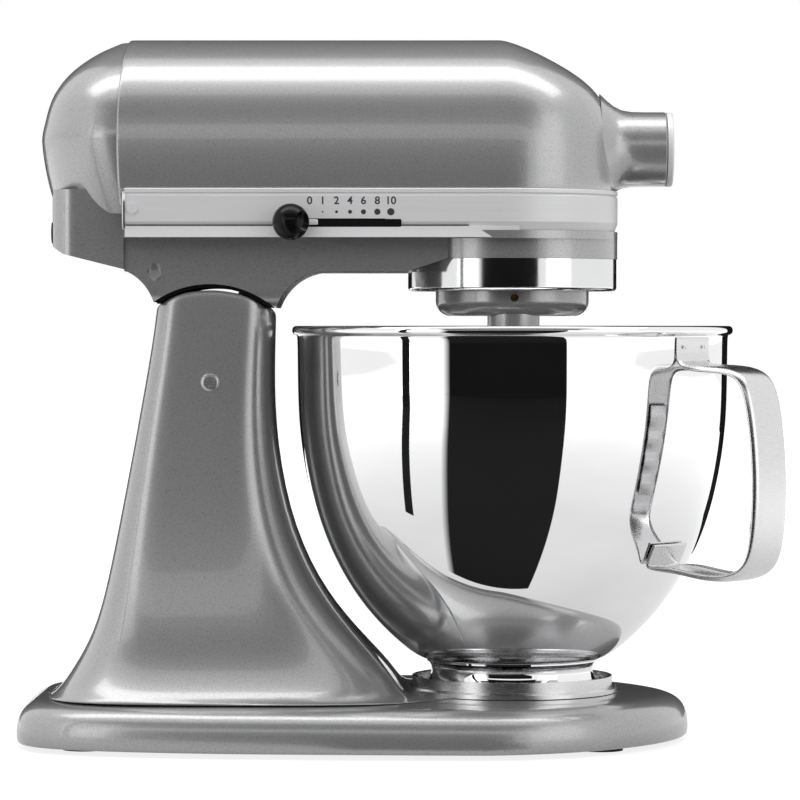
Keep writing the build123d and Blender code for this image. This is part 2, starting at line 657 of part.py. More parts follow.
wheel_top = hub_z + 11
wheel_shaft = disc(wheel_shaft_radius, tray_floor + 0.3, wheel_top, wheel_x, wheel_y)
nodes["worm_wheel_shaft"] = wheel_shaft
at_wheel = Pos(wheel_x, wheel_y, 0)
bore = disc(wheel_shaft_radius + 0.01, spur_low - 5, wheel_top + 5)
wheel = gear(wheel_teeth, wheel_module, gear_width, hub_z - gear_width / 2)
nodes["worm_wheel"] = at_wheel * (wheel + disc(8, spur_low + gear_width, hub_z) - bore)
pinion = Rot(0, 0, mesh_angle + 180 + 180 / pinion_teeth) * gear(pinion_teeth, module, gear_width, spur_low)
nodes["drive_pinion"] = at_wheel * (pinion - bore)

plate_x = -66.0
bracket_low, bracket_high = wheel_top - 4.5, wheel_top - 0.5
inner_half = head_half_width - head_wall - 0.3
bracket = block((plate_x, plate_x + 4), (-inner_half, inner_half), (tray_floor + 0.2, shoulder_z))
bracket += block((plate_x, plate_x + 4), (-26, 26), (hub_z, hub_z + 18))
bracket += block((plate_x, wheel_x + 8), (wheel_y - 8, wheel_y + 8), (bracket_low, bracket_high))
bracket -= disc(wheel_shaft_radius + RUNNING, bracket_low - 1, bracket_high + 1, wheel_x, wheel_y)
bearing_radius = 11.0
bracket -= x_rod(bearing_radius + 0.01, plate_x - 1, plate_x + 5, hub_z)
bracket -= block(
    (plate_x - 1, plate_x + 5), (-inner_half - 1, -inner_half + 15), (tray_floor, tray_floor + 12))
nodes["gearcase_bracket"] = bracket

rear_x = head_back_x + 5.0
rear_bracket = block((rear_x, rear_x + 3.5), (-inner_half, inner_half), (hub_z - 38, shoulder_z))
rear_bracket += block((rear_x, rear_x + 3.5), (-26, 26), (hub_z, hub_z + 18))
rear_bracket -= x_rod(bearing_radius + 0.01, rear_x - 1, rear_x + 5, hub_z)
rear_bracket -= x_rod(2.01, rear_x - 1, rear_x + 5, cover_screw_z)
holder_x = (rear_x + 12, rear_x + 22)
brush_y = (14.0, 27.0)
arms = block((rear_x + 3, holder_x[1]), (brush_y[0] + 4, brush_y[1] + 9), (hub_z - 8.5, hub_z - 6.1))
for x, y in HOUSING_SCREWS[:2]:
    rear_bracket -= block((rear_x - 1, x + 7), (y - 7, y + 7), (tray_floor, seam_z + 24))
nodes["rear_bearing_bracket"] = rear_bracket + both_sides(arms)
ball_races = x_rod(bearing_radius, rear_x, rear_x + 3.5, hub_z)
ball_races += x_rod(bearing_radius, plate_x, plate_x + 4, hub_z)
nodes["armature_bearings"] = ball_races - x_rod(shaft_radius + RUNNING, rear_x - 1, plate_x + 5, hub_z)

commutator_radius = brush_y[0] - 0.3
holder = block(holder_x, (brush_y[0] + 3, brush_y[1] + 9), (hub_z - 6, hub_z + 6))
holder -= block((holder_x[0] + 1.2, holder_x[1] - 1.2), (0, brush_y[1] + 7.5), (hub_z - 4.8, hub_z + 4.8))
nodes["brush_holders"] = both_sides(holder)
brush = block((holder_x[0] + 1.4, holder_x[1] - 1.4), brush_y, (hub_z - 4.6, hub_z + 4.6))
nodes["carbon_brushes"] = both_sides(brush)
spring = y_rod(3, brush_y[1] + 0.05, brush_y[1] + 7.4, sum(holder_x) / 2, hub_z)
nodes["brush_springs"] = both_sides(spring - y_rod(2.2, 0, 60, sum(holder_x) / 2, hub_z))

worm_low, worm_high = wheel_x - 11, wheel_x + 11
shaft = x_rod(shaft_radius, rear_x - 2, worm_high, hub_z) + x_rod(worm_radius, worm_low, worm_high, hub_z)
nodes["armature_shaft"] = shaft
on_shaft = x_rod(shaft_radius + 0.01, rear_x - 5, worm_low, hub_z)
nodes["armature_core"] = x_rod(armature_radius, field_low_x + 1, field_high_x - 1, hub_z) - on_shaft
nodes["armature_windings"] = (
    x_rod(armature_radius - 4, field_low_x - 9, field_low_x + 0.95, hub_z)
    + x_rod(armature_radius - 4, field_high_x - 0.95, field_high_x + 9, hub_z) - on_shaft)
nodes["commutator"] = x_rod(commutator_radius, holder_x[0] - 1, holder_x[1] + 2, hub_z) - on_shaft
fan = x_rod(9, plate_x - 22, plate_x - 8, hub_z)
for n in range(8):
    blade = Rot(45 * n, 0, 0) * block((-6.5, 6.5), (-0.8, 0.8), (8, armature_radius + 6))
    fan += Pos(plate_x - 15, 0, hub_z) * blade
nodes["cooling_fan"] = fan + x_rod(armature_radius + 6, plate_x - 22, plate_x - 20.5, hub_z) - on_shaft

coil_half = 48.0
core = x_rod(field_outer, field_low_x, field_high_x, hub_z)
core -= x_rod(field_bore, field_low_x - 1, field_high_x + 1, hub_z)


def coil(grow, low, high):
    """One field winding, a curved pad over the armature."""
    inner, outer = field_bore + 0.6 - grow, field_outer - 3 + grow
    half = coil_half + 2 * grow
    section = outline(((inner, 0), (outer, 0), (outer, high - low), (inner, high - low)))
    arc = Rot(0, 0, -half) * revolve(section, Axis.Z, 2 * half)
    return Pos(low, 0, hub_z) * Rot(0, 90, 0) * Rot(0, 0, 180) * arc


def coils(grow, low, high):
    upper = coil(grow, low, high)
    return upper + Pos(0, 0, 2 * hub_z) * mirror(upper, Plane.XY)


nodes["field_core"] = core - coils(0.3, field_low_x - 1, field_high_x + 1)
nodes["field_coils"] = coils(0.0, field_low_x - 9, field_high_x + 9)

sleeve_low = hub_floor_x - 5
nodes["hub_bearing_sleeve"] = x_rod(sleeve_outer, sleeve_low, hub_floor_x, hub_z) - x_rod(
    hub_shaft_radius + RUNNING, sleeve_low - 1, hub_floor_x + 1, hub_z)
drive = x_rod(hub_shaft_radius, bevel_radius - 3, hub_floor_x + 2, hub_z)
drive += x_rod(socket_radius, hub_floor_x + 0.4, hub_floor_x + 19, hub_z)
square = (-socket_square / 2, socket_square / 2)
nodes["hub_drive_shaft"] = drive - block(
    (hub_floor_x + 4, hub_floor_x + 20), square, (hub_z + square[0], hub_z + square[1]))
hub_cone = Rot(0, 0, 180 / bevel_teeth) * bevel(bevel_teeth, bevel_radius, 6)
hub_cone = Pos(bevel_radius, 0, hub_z) * Rot(0, -90, 0) * hub_cone
hub_cone += x_rod(9, bevel_radius - 0.2, sleeve_low - 0.4, hub_z)
nodes["hub_bevel_gear"] = hub_cone - x_rod(hub_shaft_radius + 0.01, 0, hub_floor_x, hub_z)

cap = x_rod(hub_outer, hub_face_x + 0.2, hub_face_x + hub_cap, hub_z)
cap = fillet(cap.edges().filter_by(GeomType.CIRCLE).group_by(Axis.X)[-1], 1.2)
spigot = x_rod(hub_bore - FREE, hub_face_x - 9, hub_face_x + 1, hub_z)
cap += spigot - x_rod(hub_bore - 2.5, hub_face_x - 10, hub_face_x, hub_z)
nodes["hub_cover"] = cap + x_rod(5, hub_face_x + hub_cap - 0.2, hub_face_x + hub_cap + 0.9, hub_z - 1)

stud_tip, knob_low = hub_bore + 0.3, hub_outer + 4 + 6.5
nodes["attachment_screw"] = y_rod(thumb_screw_radius, stud_tip, knob_low + 3, thumb_screw_x, hub_z)
thumb = y_rod(10, knob_low, knob_low + 13, thumb_screw_x, hub_z)
for n in range(12):
    notch = y_rod(1.6, knob_low - 1, knob_low + 14, 10.6, 0)
    thumb -= Pos(thumb_screw_x, 0, hub_z) * Rot(0, 30 * n, 0) * notch
thumb -= y_rod(thumb_screw_radius + 0.02, knob_low - 1, knob_low + 3.1, thumb_screw_x, hub_z)
nodes["attachment_knob"] = thumb

# ---------------------------------------------------------------- controls

knob_y = -(band_out + 0.7 + knob_radius)
arm_z = ((slot_low_z + slot_high_z) / 2 - 1.5, (slot_low_z + slot_high_z) / 2 + 1.5)
wall_in = head_half_width - head_wall
arm = block((knob_x - 2.5, knob_x + 2.5), (knob_y + 5, -wall_in + 3), arm_z)
slide_y = (-wall_in + FREE, -wall_in + 3)
arm += block((knob_x - 10, knob_x + 10), slide_y, (tray_floor + FREE, tray_floor + 10))
nodes["speed_lever"] = arm
ball = Pos(knob_x, knob_y, knob_z - 0.5) * Sphere(knob_radius)
arm_hole = (arm_z[0] - 0.01, arm_z[1] + 0.01)
nodes["speed_knob"] = ball - block((knob_x - 2.51, knob_x + 2.51), (knob_y + 4.99, 0), arm_hole)

rail_x, rail_low = (knob_x - 16, knob_x + speed_travel + 16), tray_floor + 0.15
rail = block(rail_x, (-wall_in + 3.4, -wall_in + 14), (rail_low, tray_floor + 2))
rail += block(rail_x, (-wall_in + 3.4, -wall_in + 5), (rail_low, tray_floor + 11))
nodes["speed_control_plate"] = rail

lock_wall = belly_half_width - 2
lock_x = LOCK_SLOT[0] + 3.5
lock = block((lock_x - 2.2, lock_x + 2.2), (lock_wall - 5.7, lock_wall + 2), (lock_z - 1.8, lock_z + 1.8))
lock += block((lock_x - 5, lock_x + 5), (lock_wall + 0.4, lock_wall + 4), (lock_z - 3, lock_z + 3))
nodes["lock_lever"] = lock
nodes["lock_lever_knob"] = y_rod(5, lock_wall + 4, lock_wall + 12, lock_x, lock_z)

screws = Part()
for x, y in HOUSING_SCREWS:
    head = disc(3.5, ledge_low_z + 0.1, ledge_low_z + 2.9, x, y)
    screws += head + disc(1.7, ledge_low_z + 2, seam_z + 13, x, y)
nodes["housing_screws"] = screws

for name, shape in nodes.items():
    export_step(Part() + shape, f"parts/{name}.step")
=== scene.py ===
import bpy
import bmesh
import math
from mathutils import Matrix, Vector


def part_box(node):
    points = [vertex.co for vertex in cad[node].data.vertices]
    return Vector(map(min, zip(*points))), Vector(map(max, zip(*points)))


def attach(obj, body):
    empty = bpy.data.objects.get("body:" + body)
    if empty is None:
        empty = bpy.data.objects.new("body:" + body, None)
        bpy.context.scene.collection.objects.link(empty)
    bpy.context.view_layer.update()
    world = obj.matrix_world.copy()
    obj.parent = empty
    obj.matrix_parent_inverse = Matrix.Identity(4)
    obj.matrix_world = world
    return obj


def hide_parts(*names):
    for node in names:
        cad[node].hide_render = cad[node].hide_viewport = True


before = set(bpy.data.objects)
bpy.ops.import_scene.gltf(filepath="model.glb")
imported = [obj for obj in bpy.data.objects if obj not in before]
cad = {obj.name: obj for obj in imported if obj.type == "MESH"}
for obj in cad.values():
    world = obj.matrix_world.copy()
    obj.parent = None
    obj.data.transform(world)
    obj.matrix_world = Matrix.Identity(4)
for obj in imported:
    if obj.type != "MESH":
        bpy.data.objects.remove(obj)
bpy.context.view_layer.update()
mm = 0.001

# ------------------------------------------------------------------ studio
# White sweep, two large soft boxes either side of the camera, a long one overhead, and black
# cards, seen in reflections only, that draw the dark bands down the polished bowl and shade the
# paint.
scene = bpy.context.scene
scene.view_settings.view_transform = "Standard"

camera = bpy.data.objects.new("camera", bpy.data.cameras.new("camera"))
scene.collection.objects.link(camera)
camera.data.lens = 178.0
camera.data.sensor_width = 36.0
camera.location = (-0.0567, -2.0, 0.2105)
camera.rotation_euler = (math.radians(90.0) - math.atan2(0.0395, 2.0), 0.0, 0.0)
camera.data.clip_end = 30.0
scene.camera = camera


def soft_box(name, place, aim, width, height, radiance):
    lamp = bpy.data.objects.new(name, bpy.data.lights.new(name, "AREA"))
    lamp.data.shape = "RECTANGLE"
    lamp.data.size, lamp.data.size_y = width, height
    lamp.data.energy = radiance * math.pi * width * height
    lamp.location = place
    lamp.rotation_euler = (Vector(aim) - Vector(place)).to_track_quat("-Z", "Y").to_euler()
    scene.collection.objects.link(lamp)
    return lamp


soft_box("soft_box_above", (-0.05, -0.05, 1.45), (-0.05, 0.0, 0.2), 2.4, 0.5, 3.0)
soft_box("soft_box_left", (-1.77, -1.42, 0.75), (-0.05, 0.0, 0.2), 0.98, 1.5, 1.2)
soft_box("soft_box_right", (1.7, -1.4, 0.75), (-0.05, 0.0, 0.2), 1.2, 1.5, 0.8)

world = bpy.data.worlds.new("studio")
scene.world = world
world.use_nodes = True
sky = world.node_tree
sky.nodes.clear()
rays = sky.nodes.new("ShaderNodeLightPath")
seen = sky.nodes.new("ShaderNodeMath")
seen.operation = "MAXIMUM"
through = sky.nodes.new("ShaderNodeMath")
through.operation = "MAXIMUM"
sky.links.new(rays.outputs["Is Camera Ray"], seen.inputs[0])
sky.links.new(rays.outputs["Is Glossy Ray"], seen.inputs[1])
sky.links.new(seen.outputs[0], through.inputs[0])
sky.links.new(rays.outputs["Is Transmission Ray"], through.inputs[1])
level = sky.nodes.new("ShaderNodeMapRange")
level.inputs["To Min"].default_value = 0.68
level.inputs["To Max"].default_value = 1.0
sky.links.new(through.outputs[0], level.inputs["Value"])
backdrop = sky.nodes.new("ShaderNodeBackground")
backdrop.inputs["Color"].default_value = (1.0, 1.0, 1.0, 1.0)
sky.links.new(level.outputs["Result"], backdrop.inputs["Strength"])
out = sky.nodes.new("ShaderNodeOutputWorld")
sky.links.new(backdrop.outputs[0], out.inputs["Surface"])


def sheet(name, corners, material):
    mesh = bpy.data.meshes.new(name)
    card = bmesh.new()
    bmesh.ops.create_grid(card, x_segments=1, y_segments=1, size=1.0)
    for corner, place in zip(sorted(card.verts, key=lambda v: (v.co.y, v.co.x * v.co.y)), corners):
        corner.co = place
    card.to_mesh(mesh)
    card.free()
    mesh.materials.append(material)
    card_object = bpy.data.objects.new(name, mesh)
    scene.collection.objects.link(card_object)
    return card_object


white = bpy.data.materials.new("white_sweep")
white.use_nodes = True
tree = white.node_tree
tree.nodes.clear()
matt = tree.nodes.new("ShaderNodeBsdfDiffuse")
matt.inputs["Color"].default_value = (0.30, 0.30, 0.30, 1.0)
glow = tree.nodes.new("ShaderNodeEmission")
glow.inputs["Color"].default_value = (1.0, 1.0, 1.0, 1.0)
paths = tree.nodes.new("ShaderNodeLightPath")
# The floor's glow paints shade round the mixer. Within 0.25 m of it the glow is 0.82 for the camera and 0.52 in
# reflections, rising to full white at 1.1 m, so the floor by the base and its reflection in the paint read darker.
spot = tree.nodes.new("ShaderNodeTexCoord")
far = tree.nodes.new("ShaderNodeVectorMath")
far.operation = "LENGTH"
tree.links.new(spot.outputs["Object"], far.inputs[0])
seen_share = None
for ray, glow_by_mixer in (("Is Camera Ray", 0.82), ("Is Glossy Ray", 0.52)):
    floor_shade_ramp = tree.nodes.new("ShaderNodeMapRange")
    floor_shade_ramp.inputs["From Min"].default_value, floor_shade_ramp.inputs["From Max"].default_value = 0.25, 1.1
    floor_shade_ramp.inputs["To Min"].default_value, floor_shade_ramp.inputs["To Max"].default_value = glow_by_mixer, 1.0
    tree.links.new(far.outputs["Value"], floor_shade_ramp.inputs["Value"])
    scaled = tree.nodes.new("ShaderNodeMath")
    scaled.operation = "MULTIPLY_ADD"
    tree.links.new(paths.outputs[ray], scaled.inputs[0])
    tree.links.new(floor_shade_ramp.outputs["Result"], scaled.inputs[1])
    if seen_share:
        tree.links.new(seen_share, scaled.inputs[2])
    else:
        scaled.inputs[2].default_value = 0.0
    seen_share = scaled.outputs[0]
tree.links.new(seen_share, glow.inputs["Strength"])
both = tree.nodes.new("ShaderNodeAddShader")
tree.links.new(matt.outputs[0], both.inputs[0])
tree.links.new(glow.outputs[0], both.inputs[1])
floor_out = tree.nodes.new("ShaderNodeOutputMaterial")
tree.links.new(both.outputs[0], floor_out.inputs["Surface"])

black = bpy.data.materials.new("black_card")
black.use_nodes = True
black.node_tree.nodes["Principled BSDF"].inputs["Base Color"].default_value = (0.015, 0.015, 0.015, 1.0)
black.node_tree.nodes["Principled BSDF"].inputs["Roughness"].default_value = 1.0
black.node_tree.nodes["Principled BSDF"].inputs["Specular IOR Level"].default_value = 0.0

faded = black.copy()
faded.name = "black_card_fading"
tree = faded.node_tree
spot = tree.nodes.new("ShaderNodeTexCoord")
parts = tree.nodes.new("ShaderNodeSeparateXYZ")
tree.links.new(spot.outputs["Object"], parts.inputs[0])
inward = tree.nodes.new("ShaderNodeMath")
inward.operation = "MULTIPLY_ADD"
inward.inputs[1].default_value = -0.7703
tree.links.new(parts.outputs["Y"], inward.inputs[0])
tree.links.new(parts.outputs["X"], inward.inputs[2])
width = tree.nodes.new("ShaderNodeMath")
width.operation = "MULTIPLY"
width.inputs[1].default_value = -0.10
tree.links.new(parts.outputs["Y"], width.inputs[0])
share = tree.nodes.new("ShaderNodeMath")
share.operation = "DIVIDE"
share.use_clamp = True
tree.links.new(inward.outputs[0], share.inputs[0])
tree.links.new(width.outputs[0], share.inputs[1])
clear = tree.nodes.new("ShaderNodeBsdfTransparent")
blend = tree.nodes.new("ShaderNodeMixShader")
tree.links.new(share.outputs[0], blend.inputs[0])
tree.links.new(clear.outputs[0], blend.inputs[1])
tree.links.new(tree.nodes["Principled BSDF"].outputs[0], blend.inputs[2])
tree.links.new(blend.outputs[0], tree.nodes["Material Output"].inputs["Surface"])

sheet("floor", ((-6, -6, 0), (6, -6, 0), (6, 6, 0), (-6, 6, 0)), white)
for name, corners in (
    ("card_floor", ((-1.8, -2.3, 0.002), (1.15, -2.3, 0.002), (0.016, -0.119, 0.002), (-0.12, -0.119, 0.002))),
    ("card_upright", ((-1.8, -2.3, 0.0), (1.15, -2.3, 0.0), (1.15, -2.3, 0.85), (-1.8, -2.3, 0.85))),
    ("card_high", ((-3.0, -2.3, 1.3), (2.4, -2.3, 1.3), (2.4, -2.3, 3.6), (-3.0, -2.3, 3.6))),
    ("card_strip", ((-1.75, -1.0, 0.0), (-1.62, -1.1, 0.0), (-1.62, -1.1, 2.0), (-1.75, -1.0, 2.0))),
    ("card_strip_floor", (
        (-1.75, -1.0, 0.002), (-1.62, -1.1, 0.002), (-0.23, -0.17, 0.002), (-0.26, -0.16, 0.002))),
    ("card_behind", ((-1.3, 2.0, 0.0), (1.3, 2.0, 0.0), (1.3, 2.0, 4.2), (-1.3, 2.0, 4.2))),
    ("card_behind_floor", ((0.25, 0.55, 0.002), (0.40, 0.55, 0.002), (1.2, 2.0, 0.002), (0.25, 2.0, 0.002))),
):
    card = sheet(name, corners, faded if name in ("card_floor", "card_upright") else black)
    card.visible_camera = card.visible_diffuse = card.visible_shadow = card.visible_transmission = False

# ------------------------------------------------------------------ base and pedestal
# One aluminium die casting: a D-shaped base that flows up into the pedestal, its top rounded
# about the tilt pin, hollow underneath with a boss over every rubber foot.


def new_finish(name):
    finish = bpy.data.materials.new(name)
    finish.use_nodes = True
    return finish, finish.node_tree, finish.node_tree.nodes["Principled BSDF"]


def place_noise(tree, kind, scale_by, stretch=(1.0, 1.0, 1.0)):
    where = tree.nodes.new("ShaderNodeTexCoord")
    turn = tree.nodes.new("ShaderNodeMapping")
    turn.inputs["Scale"].default_value = stretch
    noise = tree.nodes.new(kind)
    noise.inputs["Scale"].default_value = scale_by
    tree.links.new(where.outputs["Object"], turn.inputs["Vector"])
    tree.links.new(turn.outputs["Vector"], noise.inputs["Vector"])
    return noise


def spread(tree, source, low, high, socket, from_low=0.0, from_high=1.0):
    reach = tree.nodes.new("ShaderNodeMapRange")
    reach.inputs["From Min"].default_value, reach.inputs["From Max"].default_value = from_low, from_high
    reach.inputs["To Min"].default_value, reach.inputs["To Max"].default_value = low, high
    tree.links.new(source, reach.inputs["Value"])
    tree.links.new(reach.outputs["Result"], socket)
    return reach


def two_tones(tree, source, dark, light, socket):
    ramp = tree.nodes.new("ShaderNodeValToRGB")
    ramp.color_ramp.elements[0].color = (*dark, 1.0)
    ramp.color_ramp.elements[1].color = (*light, 1.0)
    tree.links.new(source, ramp.inputs["Fac"])
    tree.links.new(ramp.outputs["Color"], socket)
    return ramp


def relief(tree, source, strength, distance, shader):
    bump = tree.nodes.new("ShaderNodeBump")
    bump.inputs["Strength"].default_value = strength
    bump.inputs["Distance"].default_value = distance
    tree.links.new(source, bump.inputs["Height"])
    tree.links.new(bump.outputs["Normal"], shader.inputs["Normal"])
    return bump


paint, tree, shader = new_finish("metallic_grey_paint")
flake = place_noise(tree, "ShaderNodeTexVoronoi", 1500.0)
two_tones(tree, flake.outputs["Distance"], (0.50, 0.50, 0.505), (0.34, 0.34, 0.344), shader.inputs["Base Color"])
shader.inputs["Metallic"].default_value = 0.5
shader.inputs["Coat Weight"].default_value = 0.8
shader.inputs["Coat Roughness"].default_value = 0.04
mottle = place_noise(tree, "ShaderNodeTexNoise", 260.0)
spread(tree, mottle.outputs["Fac"], 0.27, 0.33, shader.inputs["Roughness"])


def dress(material, *names):
    for name in names:
        cad[name].data.materials.clear()
        cad[name].data.materials.append(material)


def add_piece(name, shape, material, body, stands_for=(), smooth_angle=None, levels=0):
    bmesh.ops.recalc_face_normals(shape, faces=shape.faces)
    mesh = bpy.data.meshes.new(name)
    shape.to_mesh(mesh)
    shape.free()
    mesh.materials.append(material)
    mesh.shade_smooth()
    if smooth_angle:
        mesh.set_sharp_from_angle(angle=math.radians(smooth_angle))
    piece = bpy.data.objects.new(name, mesh)
    scene.collection.objects.link(piece)
    if levels:
        rounded = piece.modifiers.new("rounded", "SUBSURF")
        rounded.levels = rounded.render_levels = levels
    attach(piece, body)
    if stands_for:
        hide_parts(*stands_for)
    return piece


def section_loop(shape, height, rear, front, half, square_rear, square_front, wrap=0.0, taper=0.0, middle=None):
    centre = (rear + front) / 2 if middle is None else middle
    loop = bmesh.ops.create_circle(shape, segments=64, radius=1.0)["verts"]
    for corner in loop:
        along, across = corner.co.x, corner.co.y
        square = square_front if along > 0 else square_rear
        reach = (front if along > 0 else rear) - centre
        share = abs(along) ** (2 / square)
        x = centre + reach * share
        y = math.copysign(half * abs(across) ** (2 / square), across)
        if along > 0:
            x += wrap * share * (y / half) ** 2
        y *= 1 - taper * (max(0.0, -60.0 - x) / 162.0) ** 1.35
        corner.co = (x * mm, y * mm, height * mm)
    return loop


def loop_edges(loop):
    inside = set(loop)
    return [e for e in {e for v in loop for e in v.link_edges} if set(e.verts) <= inside]


def join_loops(shape, loops):
    for lower, upper in zip(loops, loops[1:]):
        bmesh.ops.bridge_loops(shape, edges=loop_edges(lower) + loop_edges(upper))


pin_low, pin_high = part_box("hinge_pin")
pin_x, pin_z = (pin_low.x + pin_high.x) / 2 / mm, (pin_low.z + pin_high.z) / 2 / mm
seam_radius = 46.4
stand = bmesh.new()
base_rim = [
    section_loop(stand, z, -247.5 + inset, 89 - inset, 110.5 - inset, 6.0, 1.85, 0.0, 0.164, -21.0)
    for z, inset in ((20.0, 26.0), (19.0, 8.0), (15.0, 4.8), (4.0, 4.5), (2.5, 4.0), (2.5, 1.2), (3.6, 0.0),
                     (11.0, 0.0), (16.5, 1.4), (20.4, 4.6), (23.0, 9.5))
]
shelf = [
    section_loop(stand, 23.8, rear, front, half, 5.0, square, 0.0, 0.15, middle)
    for rear, front, half, square, middle in (
        (-236.0, 72.0, 95.0, 1.9, -30.0), (-234.5, 30.0, 91.0, 2.1, -60.0), (-233.0, -20.0, 88.0, 2.5, -100.0))
]
column = [
    section_loop(stand, z, rear, front, half, squares[0], squares[1], wrap)
    for z, rear, front, half, squares, wrap in (
        (24.2, -231.5, -54.0, 85.0, (4.0, 3.0), 24.0),
        (28.0, -227.0, -58.0, 79.0, (4.0, 3.2), 18.0),
        (38.0, -220.0, -64.0, 71.0, (4.2, 3.6), 10.0),
        (55.0, -210.0, -79.0, 62.0, (4.5, 4.0), 0.0),
        (80.0, -203.0, -98.0, 55.0, (4.8, 4.2), -8.0),
        (115.0, -196.0, -113.0, 49.0, (5.0, 4.5), -6.0),
        (160.0, -187.5, -120.0, 45.0, (5.4, 5.0), -4.0),
        (196.0, -181.0, -119.8, 43.6, (5.6, 5.2), -3.0),
    )
]
crown = [
    section_loop(stand, 214.0, rear, front, half, squares, squares, wrap)
    for rear, front, half, squares, wrap in (
        (-178.4, -119.2, 43.0, 5.6, -3.0), (-178.3, -119.4, 42.7, 5.6, -3.0), (-176.5, -121.0, 41.0, 5.6, -2.0),
        (-174.0, -124.0, 21.5, 30.0, 0.0), (-173.8, -124.2, 21.3, 30.0, 0.0), (-173.8, -124.2, 21.3, 30.0, 0.0))
]
for loop, drop in zip(crown, (2.6, 0.7, 0.0, 0.0, 1.0, 60.0)):
    for corner in loop:
        away = corner.co.x / mm - pin_x
        corner.co.z = (pin_z + math.sqrt(seam_radius**2 - away**2) - drop) * mm
join_loops(stand, base_rim + shelf + column + crown)
bmesh.ops.contextual_create(stand, geom=loop_edges(base_rim[0]))
bmesh.ops.contextual_create(stand, geom=loop_edges(crown[-1]))
for x, y in ((0, 0), (42, 58), (42, -58), (-212, 55), (-212, -55)):
    boss = bmesh.ops.create_cone(stand, cap_ends=True, segments=24, radius1=13 * mm, radius2=15 * mm, depth=14 * mm)
    bmesh.ops.translate(stand, verts=boss["verts"], vec=(x * mm, y * mm, 13 * mm))
add_piece("base_and_pedestal", stand, paint, "stand", ("base_casting",), levels=2)

# ------------------------------------------------------------------ upper head housing
# Die-cast shell over the motor: straight arched sides that close round a sloping nose, and the
# attachment hub's barrel flaring out of the front.
band_low, band_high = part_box("trim_band")
head_low, head_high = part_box("head_upper_housing")
hub_low, hub_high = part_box("hub_bearing_sleeve")
head_half = -head_low.y / mm
head_top = head_high.z / mm
hub_z = (hub_low.z + hub_high.z) / 2 / mm
hub_face_x = head_high.x / mm
nose_x = -7.0
head_back_x = head_low.x / mm
band_top_z = band_high.z / mm


def chain(shape, points):
    """Joined edges through points given in millimetres."""
    corners = [shape.verts.new([c * mm for c in p]) for p in points]
    return corners + [shape.edges.new(pair) for pair in zip(corners, corners[1:])]


def turned(shape, points, centre, axis, angle=2 * math.pi, steps=96):
    """A profile given in millimetres, spun about an axis through centre."""
    geometry = chain(shape, points)
    bmesh.ops.spin(shape, geom=geometry, cent=[c * mm for c in centre], axis=axis, angle=angle, steps=steps,
                   use_merge=angle > 6.28)


arch = (
    (0.0, head_top), (7.0, head_top - 0.6), (18.0, head_top - 3.2), (30.0, head_top - 8.0),
    (40.0, head_top - 14.2), (48.0, head_top - 22.0), (53.6, head_top - 31.0), (57.2, head_top - 41.5),
    (58.9, head_top - 53.0), (head_half, head_top - 65.0), (head_half - 0.4, band_top_z + 2.2),
    (head_half - 0.9, band_top_z + 1.0), (head_half - 1.7, band_top_z + 0.5), (head_half - 1.9, band_top_z - 7.0),
)
dome = bmesh.new()
turned(dome, [(nose_x, -r, z) for r, z in arch], (nose_x, 0, 0), (0, 0, 1), math.pi, 24)
bmesh.ops.remove_doubles(dome, verts=dome.verts, dist=0.01 * mm)
for corner in dome.verts:
    out_x, out_y = corner.co.x / mm - nose_x, corner.co.y / mm
    reach = math.hypot(out_x, out_y)
    if reach > 0.1 and corner.co.z / mm > band_top_z + 3:
        forward = max(0.0, out_x / reach) ** 2
        corner.co.z -= forward * 4.4 * math.sin(math.pi * min(1.0, reach / head_half) ** 1.25) * mm
ends = [e for e in dome.edges if e.is_boundary and all(abs(v.co.x - nose_x * mm) < 0.01 * mm for v in e.verts)]
for x, shrink in ((-70.0, 1.0), (-130.0, 1.0), (-185.0, 1.0), (head_back_x + 1.6, 1.0), (head_back_x + 0.4, 0.995),
                  (head_back_x, 0.975), (head_back_x + 0.2, 0.95)):
    moved = bmesh.ops.extrude_edge_only(dome, edges=ends)["geom"]
    ends = [g for g in moved if isinstance(g, bmesh.types.BMEdge)]
    for corner in {v for e in ends for v in e.verts}:
        height = corner.co.z / mm
        corner.co.x = x * mm
        if x < -180:
            corner.co.x -= 3.2 * max(0.0, 1 - ((height - 302) / 50) ** 2) * mm
        corner.co.y *= shrink
        corner.co.z = (300 + (height - 300) * shrink) * mm
shut = [f for f in dome.faces if f.calc_center_median().x > (hub_face_x - 40) * mm
        and math.hypot(f.calc_center_median().y, f.calc_center_median().z - hub_z * mm) < 13 * mm]
bmesh.ops.delete(dome, geom=shut, context="FACES")
shell = add_piece("head_dome", dome, paint, "head", ("head_upper_housing",), levels=2)
wall = shell.modifiers.new("wall", "SOLIDIFY")
wall.thickness, wall.offset = 2.4 * mm, -1.0

barrel = bmesh.new()
turned(barrel, [(x, 0, hub_z + r) for x, r in (
    (44.0, 28.0), (47.5, 24.6), (51.0, 21.8), (55.0, 19.8), (60.0, 18.95), (67.0, 18.8), (hub_face_x - 0.8, 18.8),
    (hub_face_x, 18.2), (hub_face_x, 16.6), (hub_face_x - 0.6, 16.0), (48.0, 16.0), (34.5, 16.0), (34.0, 15.5),
    (34.0, 8.1), (31.0, 8.1))], (0, 0, hub_z), (1, 0, 0), steps=64)
add_piece("hub_barrel", barrel, paint, "head", smooth_angle=35)

thumb_boss = bmesh.new()
thumb_x = 64
turned(thumb_boss, [(thumb_x, y, hub_z + r) for y, r in (
    (16.3, 6.5), (20.0, 6.5), (22.2, 6.5), (22.8, 5.9), (22.8, 3.1), (16.3, 3.1))],
    (thumb_x, 0, hub_z), (0, 1, 0), steps=32)
add_piece("thumb_screw_boss", thumb_boss, paint, "head", smooth_angle=35)

